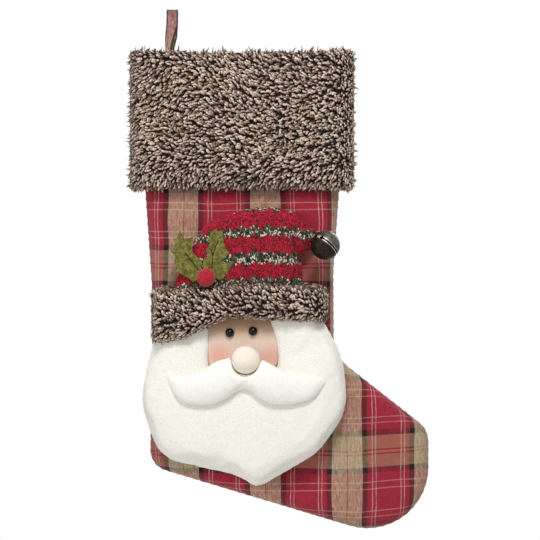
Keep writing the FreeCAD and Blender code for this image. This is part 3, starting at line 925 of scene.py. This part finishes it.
def fur_piece(name, node, seed, tree, lean_at, dip=False):
    """A band of shaggy fur: its dark skin, and the pile of locks that grows from it."""
    base = copy_of(name + "_skin", [node], [FUR[0]])
    remeshed(base, 2.6 * MM, 2)
    points = points_of(base)
    top = points[:, 2].max()
    points -= normals_of(base) * SKIN_DEPTH
    points[:, 2] += 2.2 * MM * np.clip(1 - (top - points[:, 2]) / (9 * MM), 0, 1)
    set_points(base, points)
    spots, ways = scattered(node, LOCK_SPACING, seed, tree, 14 * MM)
    if dip:
        low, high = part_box(node)
        set_points(base, mouth_dip(points, low, high))
        spots = mouth_dip(spots, low, high)
    layers = (("_locks", locks(spots, ways, lean_at(spots, ways), seed + 1)),
              ("_wisps", rim_wisps(node, spots, ways, seed + 2)))
    layers = [new_object(name + part, points, faces, FUR, slots) for part, (points, faces, slots) in layers]
    return base, joined(name + "_pile", layers)


def swirl(spots, ways, base, seed, sideways=1.0):
    """A gently turning direction along the fur."""
    rng = np.random.default_rng(seed + 2)
    angle = base + 1.0 * lattice_noise(spots * np.array([1, 0.4, 1]), 62 * MM, seed)
    angle += 0.75 * lattice_noise(spots, 13 * MM, seed + 1)
    angle = (angle + rng.normal(0, 0.42, len(spots)))[:, None]
    level = unit(np.cross(ways, [0, 0, 1.0]) + 1e-6)
    return level * np.cos(angle) * sideways + np.array([0, 0, 1.0]) * np.sin(angle)


def cuff_lean(spots, ways):
    """Locks wander over the middle, and lie towards each edge of the cuff near it."""
    low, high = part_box("cuff_fur_front")
    lean = swirl(spots, ways, -0.35, 21)
    to_bottom = np.exp(-(spots[:, 2] - low.z) / (10 * MM))[:, None]
    to_top = np.exp(-(high.z - spots[:, 2]) / (6 * MM))[:, None]
    middle = (low.x + high.x) / 2
    sideways = (np.clip(np.abs(spots[:, 0] - middle) / (high.x - middle), 0, 1) ** 8)[:, None]
    outwards = np.sign(spots[:, 0] - middle)[:, None] * np.array([1.0, 0, 0])
    return lean * 0.9 + to_bottom * [0, 0, -2.2] + to_top * [0, 0, 1.8] + sideways * outwards * 0.9


def cuffs(tree):
    for side, seed in (("front", 31), ("back", 37)):
        node = "cuff_fur_" + side
        skin, pile = fur_piece("cuff_" + side, node, seed, tree, cuff_lean, True)
        height = float(np.ptp(points_of(skin)[:, 2]))
        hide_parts(node)
        for piece in (skin, pile):
            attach(piece, "stocking")


def brim_lean(spots, ways):
    low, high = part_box("hat_brim")
    below = np.clip(((low.z + high.z) / 2 - spots[:, 2]) / 0.02, -1, 1)[:, None]
    return swirl(spots, ways, 0.4, 41, 0.8) + below * [0, 0, -1.0]


def brim(tree):
    piece = joined("hat_brim_fur", fur_piece("hat_brim", "hat_brim", 43, tree, brim_lean))
    dressed(piece, "fur", 0.8, "hat_brim")


# ---------------- head

# For each stuffed piece of the head: its cover, its material and slot, the skin's grid, how far the skin
# is let out past the CAD shape, the filling's pressure, how far it may swell and its fill.
HEAD = {"beard": ("beard_cover", BEARD_FLEECE, "fleece", 3.4 * MM, 1.1 * MM, 5, 4.5 * MM, 0.6),
        "face": ("face_patch", SKIN, "skin_cloth", 2.6 * MM, 2.2 * MM, 4, 1.2 * MM, 0.6),
        "moustache": ("moustache_cover", MOUSTACHE_FLEECE, "fleece", 3.0 * MM, -0.4 * MM, 4, 2.0 * MM, 0.7),
        "nose": ("nose_cover", NOSE_FLEECE, "nose_fleece", 2.0 * MM, 0.1 * MM, 2, 0.8 * MM, 0.9)}
# The height, width and seed of each fleece's lumps.
FLEECE_NAP = {"beard": (0.22 * MM, 3.2 * MM, 51), "moustache": (0.18 * MM, 2.8 * MM, 53),
              "nose": (0.08 * MM, 1.6 * MM, 55)}


def head():
    """Beard, face, nose and moustache, each stuffed on its own. Returns the beard."""
    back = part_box("beard_stuffing")[1].y
    flat_sides = {"beard": (back, None), "face": (back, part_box("face_patch")[0].y)}
    pieces = {}
    for name, (cover, material, slot, grid, let_out, pressure, travel, fill) in HEAD.items():
        nodes = [cover, name + "_stuffing"]
        piece = pad(name, nodes, material, grid, let_out, pressure, travel, *flat_sides.get(name, (None, None)))
        if name in flat_sides:
            edge = outline(cover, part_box(cover)[1].y)
            trimmed(piece, edge, -0.6 * MM if name == "beard" else 0.0)
        if name == "beard":
            smoothed(piece, 4)
        if name == "face":
            mark(piece, "edge", np.maximum(nearest_on(edge, True, points_of(piece)[:, [0, 2]])[0], 0))
        else:
            nap(piece, *FLEECE_NAP[name])
        dressed(piece, slot, fill, *nodes)
        pieces[name] = piece
    return pieces["beard"]


def beard_stitches(beard):
    """Short slanting stitches from the cloth behind up into the beard's edge, wherever it is near."""
    front, back = (corner.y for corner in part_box("beard_cover"))
    near_y, far_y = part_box("head_backing")[1].y + 0.2 * MM, back + 0.3 * (front - back)
    rng = np.random.default_rng(61)
    ring = resampled(outline("beard_cover", back), 6.2 * MM, True)
    normal = outward(ring, True)
    tree = tree_of([beard.data])
    gaps = np.array([tree.find_nearest(Vector((x, far_y, z)))[3] for x, z in ring])
    ring, normal = ring[gaps < 1.1 * MM], normal[gaps < 1.1 * MM]
    way = np.column_stack([-normal[:, 1], normal[:, 0]])
    slip = rng.uniform(-0.4, 0.4, len(ring))[:, None] * MM
    low = ring + normal * 0.1 * MM + way * slip
    high = ring - normal * 1.4 * MM + way * (1.1 * MM + slip)
    paths = []
    for t in np.linspace(0, 1, 5):
        flat = low * (1 - t) + high * t + normal * (0.5 * MM * math.sin(math.pi * t))
        paths.append(upright(flat, near_y + (far_y - near_y) * t))
    paths = np.stack(paths, axis=1)
    size = np.full(paths.shape[:2], 0.6 * MM) * np.array([0.6, 1, 1, 1, 0.6])
    points, faces = strands(paths, upright(way), size, size)
    stitches = new_object("beard_stitches", points, faces, [WHITE_THREAD])
    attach(stitches, "stocking")


def hinge_point(joint):
    return Vector(JOINTS[joint]["pos_m"])


# ---------------- hat

ROW = 2.3 * MM
STITCH = 2.1 * MM
YARN_WIDTH = 1.35 * MM
HAT_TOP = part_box("hat_crown")[1].z
SCALLOP = 13.8 * MM


def row_height(points):
    """The height of a point's row at the hat's middle: rows droop to the sides and run in scallops."""
    low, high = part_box("hat_crown")
    middle = low.x + 0.71 * (high.x - low.x)
    level = np.clip((points[:, 2] - low.z) / (high.z - low.z), 0, 1)
    droop = (0.8 + 1.9 * level) * (points[:, 0] - middle) ** 2
    scallop = 3.0 * MM * (np.abs(np.sin(math.pi * points[:, 0] / SCALLOP)) - 0.5)
    return points[:, 2] + droop + scallop


def contours(obj, value, level):
    """Lines on a mesh where the value crosses the level, as (positions, normals) in order."""
    mesh = obj.data
    ends = np.zeros(len(mesh.edges) * 2, np.int32)
    mesh.edges.foreach_get("vertices", ends)
    ends = ends.reshape(-1, 2)
    above = value > level
    crossing = above[ends[:, 0]] != above[ends[:, 1]]
    points, normals = points_of(obj), normals_of(obj)
    a, b = ends[:, 0], ends[:, 1]
    t = np.where(crossing, (level - value[a]) / np.where(crossing, value[b] - value[a], 1), 0)[:, None]
    spots = points[a] * (1 - t) + points[b] * t
    ways = unit(normals[a] * (1 - t) + normals[b] * t)
    cuts = [[mesh.loops[i].edge_index for i in face.loop_indices if crossing[mesh.loops[i].edge_index]]
            for face in mesh.polygons]
    return [(spots[line], ways[line]) for line in chains(pair for pair in cuts if len(pair) == 2)]


def stripe(level):
    """Which band of the hat is at this height: red, or the upper or lower half of a marl band."""
    below_top = (HAT_TOP - level) / MM
    for start, end, upper_end in ((4, 19, 24), (29, 45, 50), (55, 71, 76)):
        if start < below_top < end:
            return "red"
        if end <= below_top < upper_end:
            return "upper"
    return "lower"


STRIPE_YARNS = {"red": [0.60, 0.34, 0, 0.01, 0, 0.05], "upper": [0.03, 0.02, 0.34, 0.29, 0.10, 0.22],
                "lower": [0.03, 0, 0.16, 0.18, 0.33, 0.30]}


def knit(obj, seed):
    """Yarn stitches in rows over the hat: two slanting legs each."""
    rng = np.random.default_rng(seed)
    value = row_height(points_of(obj))
    t = np.linspace(0, 1, 4)
    bow = (0.85 * np.sin(math.pi * (0.12 + 0.76 * t)) - 0.2) * MM
    paths, sides, tones = [], [], []
    for level in np.arange(value.min() + ROW / 2, value.max(), ROW):
        chances = STRIPE_YARNS[stripe(level)]
        for spots, ways in contours(obj, value, level):
            length = np.concatenate([[0], np.cumsum(np.linalg.norm(np.diff(spots, axis=0), axis=1))])
            if length[-1] < 3 * STITCH:
                continue
            count = round(length[-1] / STITCH)
            at = (np.arange(count) + rng.uniform(0, 1)) * length[-1] / count % length[-1]

            def sampled(where, values):
                return np.column_stack([np.interp(where, length, values[:, i]) for i in range(3)])

            centre, normal = sampled(at, spots), unit(sampled(at, ways))
            along = unit(sampled(at + 0.5 * MM, spots) - sampled(at - 0.5 * MM, spots) + 1e-9)
            up = unit(np.cross(along, normal))
            up *= np.sign(up[:, 2] + 1e-9)[:, None]
            shown = normal[:, 1] < 0.45
            for lean in (-1, 1):
                jitter = rng.normal(0, 0.25 * MM, (count, 2))
                foot = centre + along * (lean * 0.15 * STITCH + jitter[:, :1]) - up * 0.64 * ROW
                top = centre + along * (lean * 0.60 * STITCH + jitter[:, 1:]) + up * 0.60 * ROW
                leg = (foot[:, None] * (1 - t)[:, None] + top[:, None] * t[:, None]
                       + normal[:, None] * bow[:, None])
                paths.append(leg[shown])
                sides.append(unit(np.cross(normal, unit(top - foot)))[shown])
                tones.append(rng.choice(len(YARN_TONES), count, p=chances)[shown])
    points, normals = points_of(obj), normals_of(obj)
    level = (np.abs(normals[:, 2]) > 0.5) & (normals[:, 1] < 0.45) & (rng.random(len(points)) < 0.3)
    level &= points[:, 2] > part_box("hat_brim")[1].z + 6 * MM
    points, normals = points[level], normals[level]
    way = unit(np.cross(normals, [1.0, 0, 0]) + rng.normal(0, 0.5, points.shape))
    way = unit(way - normals * np.sum(way * normals, axis=1, keepdims=True))
    paths.append(points[:, None] + way[:, None] * ((t - 0.5) * 1.3 * ROW)[:, None]
                 + normals[:, None] * bow[:, None])
    sides.append(unit(np.cross(normals, way)))
    tones.append(np.array([rng.choice(len(YARN_TONES), p=STRIPE_YARNS[stripe(height)])
                           for height in value[level]]))
    paths, sides, tones = np.concatenate(paths), np.concatenate(sides), np.concatenate(tones)
    size = YARN_WIDTH * rng.uniform(0.85, 1.15, (len(paths), 1)) * np.array([0.7, 1.1, 1.1, 0.6])
    points, faces = strands(paths, sides, size, size * 0.85)
    slots = strand_slots(np.repeat(tones[:, None], 3, axis=1))
    return new_object("hat_stitches", points, faces, YARN, slots)


def hat():
    """The crown and its tip in one knitted skin."""
    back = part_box("hat_stuffing")[1].y
    nodes = ["hat_crown", "hat_stuffing", "hat_tip", "hat_tip_stuffing"]
    body = pad("hat", nodes, YARN[1], 3.0 * MM, -0.6 * MM, 3, 1.2 * MM, back, soften=3)
    stitches = knit(body, 71)
    body.data.materials.clear()
    for yarn in YARN:
        body.data.materials.append(yarn)
    value = row_height(points_of(body))
    under = [1 if stripe(value[face.vertices[0]]) == "red" else 3 for face in body.data.polygons]
    body.data.polygons.foreach_set("material_index", np.array(under, np.int32))
    piece = joined("hat_knit", [body, stitches])
    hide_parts(*nodes)
    start, end = hinge_point("hat_tip_lift"), hinge_point("hat_tip_lift")
    start.x -= 9 * MM
    end.x += 5 * MM
    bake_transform(piece)
    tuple(start)
    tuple(end)


# ---------------- holly, berry

LEAF_LENGTH = 42 * MM
LEAF_HALF_WIDTH = 14 * MM
TIP_LIFT = 2.6 * MM
SIDE_ROLL = 0.9 * MM


def leaf_curl(points, root, along):
    """Leaves lift a little towards their tips and roll along their middle."""
    reach = np.clip((points - root) @ along, 0, None)
    across = np.abs((points - root) @ np.cross(along, [0, 1.0, 0]))
    curled = points.copy()
    roll = SIDE_ROLL * np.clip(across / LEAF_HALF_WIDTH, 0, 1) ** 2
    curled[:, 1] -= TIP_LIFT * (reach / LEAF_LENGTH) ** 2 - roll
    curled[:, 1] += 0.35 * MM * lattice_noise(points, 9 * MM, 81)
    return curled


def felt_piece(name, ring, y, thickness, curl=None):
    """A flat piece of felt inside an outline at depth y, with the size and area it is cut to."""
    flat, faces = filled(ring, 1.2 * MM)
    points = upright(flat, y)
    piece = new_object(name, points if curl is None else leaf_curl(points, *curl), faces, [LEAF_FELT])
    if np.mean(normals_of(piece)[:, 1]) > 0:
        piece.data.flip_normals()
    thickened(piece, thickness)
    return piece, np.ptp(flat, axis=0), flat_area(flat, faces)


def leaf(side):
    """One felt leaf with its stitched vein, rooted under the berry."""
    node = "holly_leaf_" + side
    joint = JOINTS[f"holly_{side}_bend"]
    root = np.array(joint["pos_m"], float)
    axis = unit(np.array(joint["axis"], float))
    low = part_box(node)[0]
    loop = outline(node, low.y)
    along = unit(np.cross(axis, [0, 1.0, 0]))
    centre = np.array([loop[:, 0].mean(), low.y, loop[:, 1].mean()])
    if (centre - root) @ along < 0:
        along = -along
    reach = (upright(loop, low.y) - root) @ along
    loop[reach < reach.min() + 0.5 * MM] -= np.array([along[0], along[2]]) * 1.6 * MM
    ring = resampled(loop, 0.8 * MM, True)
    nicks = np.random.default_rng(83).normal(0, 0.12 * MM, len(ring))
    ring = ring + outward(ring, True) * nicks[:, None]
    piece, flat, area = felt_piece("leaf_" + side, ring, low.y + 0.1 * MM, 1.2 * MM, (root, along))
    nap(piece, 0.07 * MM, 1.5 * MM, 85)
    vein = copy_of("vein_" + side, ["holly_vein_" + side], [DARK_THREAD])
    remeshed(vein, 0.24 * MM, 1)
    points = leaf_curl(points_of(vein), root, along)
    points[:, 1] -= 0.15 * MM
    set_points(vein, points)
    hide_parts(node)
    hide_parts("holly_vein_" + side)
    start, end = Vector(root - along * 1.5 * MM), Vector(root + along * 2.5 * MM)
    for part in (piece, vein):
        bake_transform(part)
        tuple(start)
        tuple(end)


def leaf_root():
    """The felt between the two leaves, which lies under the berry."""
    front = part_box("holly_base")[0].y
    ring = resampled(outline("holly_base", front), 0.8 * MM, True)
    piece, flat, area = felt_piece("leaf_root", ring, front - 0.1 * MM, 1.6 * MM)
    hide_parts("holly_base")
    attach(piece, "stocking")
    return piece


def berry():
    """A felted ball with the short felt stub that it is sewn on by."""
    low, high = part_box("berry")
    centre = (low + high) / 2
    radius = (high.z - low.z) / 2 - 0.1 * MM
    ball = bmesh.new()
    bmesh.ops.create_icosphere(ball, subdivisions=5, radius=radius, matrix=Matrix.Translation(centre))
    piece = object_from("felt_berry", ball, [BERRY_FELT])
    piece.data.polygons.foreach_set("use_smooth", np.ones(len(piece.data.polygons), bool))
    points = points_of(piece)
    offset = points - np.array(centre)
    near_axis = np.clip(1 - np.hypot(offset[:, 0], offset[:, 2]) / (0.6 * radius), 0, 1)
    crown = BVHTree.FromBMesh(merged(["hat_crown", "hat_brim"]))
    behind = crown.ray_cast(centre, Vector((0, 1, 0)))[0].y
    points[:, 1] += np.where(offset[:, 1] > 0, (behind - high.y + 1 * MM) * np.sqrt(near_axis), 0)
    set_points(piece, points)
    nap(piece, 0.16 * MM, 2.2 * MM, 91)
    nap(piece, 0.06 * MM, 0.8 * MM, 93)
    dressed(piece, "berry_felt", 1.0, "berry")


# ---------------- hanging loop


def loop_strap():
    """The folded strap, with rounded edges and a dark line along them (the check's dark band and painted shade
    where its legs meet), its foot drawn a little lower.
    """
    node = "hanging_loop"
    shape = merged([node])
    sharp = [edge for edge in shape.edges if len(edge.link_faces) == 2 and edge.calc_face_angle(0) > 1.0]
    marks = [edge.verts[0].co.lerp(edge.verts[1].co, t) for edge in sharp
             for t in np.linspace(0, 1, max(2, int(edge.calc_length() / (0.4 * MM))))]
    tree = KDTree(len(marks))
    for i, place in enumerate(marks):
        tree.insert(place, i)
    tree.balance()
    shape.free()
    piece = copy_of("loop_strap", [node], [STRAP])
    remeshed(piece, 0.42 * MM, 3)
    distance = np.array([tree.find(Vector(point))[2] for point in points_of(piece)])
    mark(piece, "edge", np.clip(1.2 - distance / (1.9 * MM), 0, 1))
    points = points_of(piece)
    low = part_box(node)[0].z
    points[:, 2] -= 3.4 * MM * np.clip(1 - (points[:, 2] - low) / (1.2 * MM), 0, 1)
    points += normals_of(piece) * (0.12 * MM * lattice_noise(points, 2.2 * MM, 101))[:, None]
    set_points(piece, points)
    start, end = hinge_point("loop_fold"), hinge_point("loop_fold")
    start.z -= 1.2 * MM
    end.z += 1.8 * MM
    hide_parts(node)
    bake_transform(piece)
    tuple(start)
    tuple(end)


# ---------------- carried-over nodes

CARRIED = {"eye_left": BEAD, "eye_right": BEAD, "bell_lower_shell": BELL_METAL, "bell_upper_shell": BELL_METAL,
           "bell_eyelet": BELL_METAL, "bell_thread": DARK_THREAD, "bell_pellet": STEEL,
           "cuff_backing_front": FUR[1], "cuff_backing_back": FUR[1], "head_backing": BACKING_FELT,
           "hat_backing": YARN[1], "loop_tab": STRAP, "loop_bar_tack": DARK_THREAD}


def finish_carried():
    for name, material in CARRIED.items():
        for material_slot in NODES[name].material_slots:
            material_slot.link = "OBJECT"
            material_slot.material = material


# ---------------- studio

WORLD_LIGHT = 0.4
FLOOR = -1.0
CAMERA = (0.098, -3.614, -0.26)
# Each light's name, place, size and power.
LIGHTS = [("key", (0.2, -1.25, 1.1), 0.42, 21), ("fill", (-1.1, -1.2, 0.0), 1.2, 6),
          ("back", (0.5, 1.6, 0.5), 1.4, 16)]


def studio():
    scene = bpy.context.scene
    scene.view_settings.view_transform = "Standard"
    world = bpy.data.worlds.new("studio")
    scene.world = world
    world.use_nodes = True
    tree = world.node_tree
    background = tree.nodes["Background"]
    background.inputs["Color"].default_value = (1, 1, 1, 1)
    seen = tree.nodes.new("ShaderNodeLightPath").outputs["Is Camera Ray"]
    level = tree.nodes.new("ShaderNodeMapRange")
    level.inputs["To Min"].default_value = WORLD_LIGHT
    level.inputs["To Max"].default_value = 1.0
    tree.links.new(seen, level.inputs["Value"])
    tree.links.new(level.outputs[0], background.inputs["Strength"])
    target = Vector((0.1, -0.03, -0.28))
    for name, place, size, power in LIGHTS:
        data = bpy.data.lights.new(name, "AREA")
        data.energy = power
        data.size = size
        lamp = placed(name, data)
        lamp.location = place
        lamp.rotation_euler = (target - Vector(place)).to_track_quat("-Z", "Y").to_euler()
    floor_points = [(-9, -9, FLOOR), (9, -9, FLOOR), (9, 5.5, FLOOR), (-9, 5.5, FLOOR)]
    pale = plain("pale_floor", (236, 235, 232), 0.9, (20 * MM, 6 * MM), (60 * MM, 0.82, 0.98))
    floor = new_object("floor", floor_points, [[0, 1, 2, 3]], [pale])
    camera_data = bpy.data.cameras.new("camera")
    camera_data.lens = 240
    camera_data.sensor_width = 36
    camera = placed("camera", camera_data)
    camera.location = CAMERA
    camera.rotation_euler = (math.pi / 2, 0, 0)
    scene.camera = camera


studio()
stocking()
open_ways = tree_of(node.data for node in NODES.values())
cuffs(open_ways)
brim(open_ways)
beard_stitches(head())
hat()
root_felt = leaf_root()
leaf("left")
leaf("right")
berry()
loop_strap()
finish_carried()
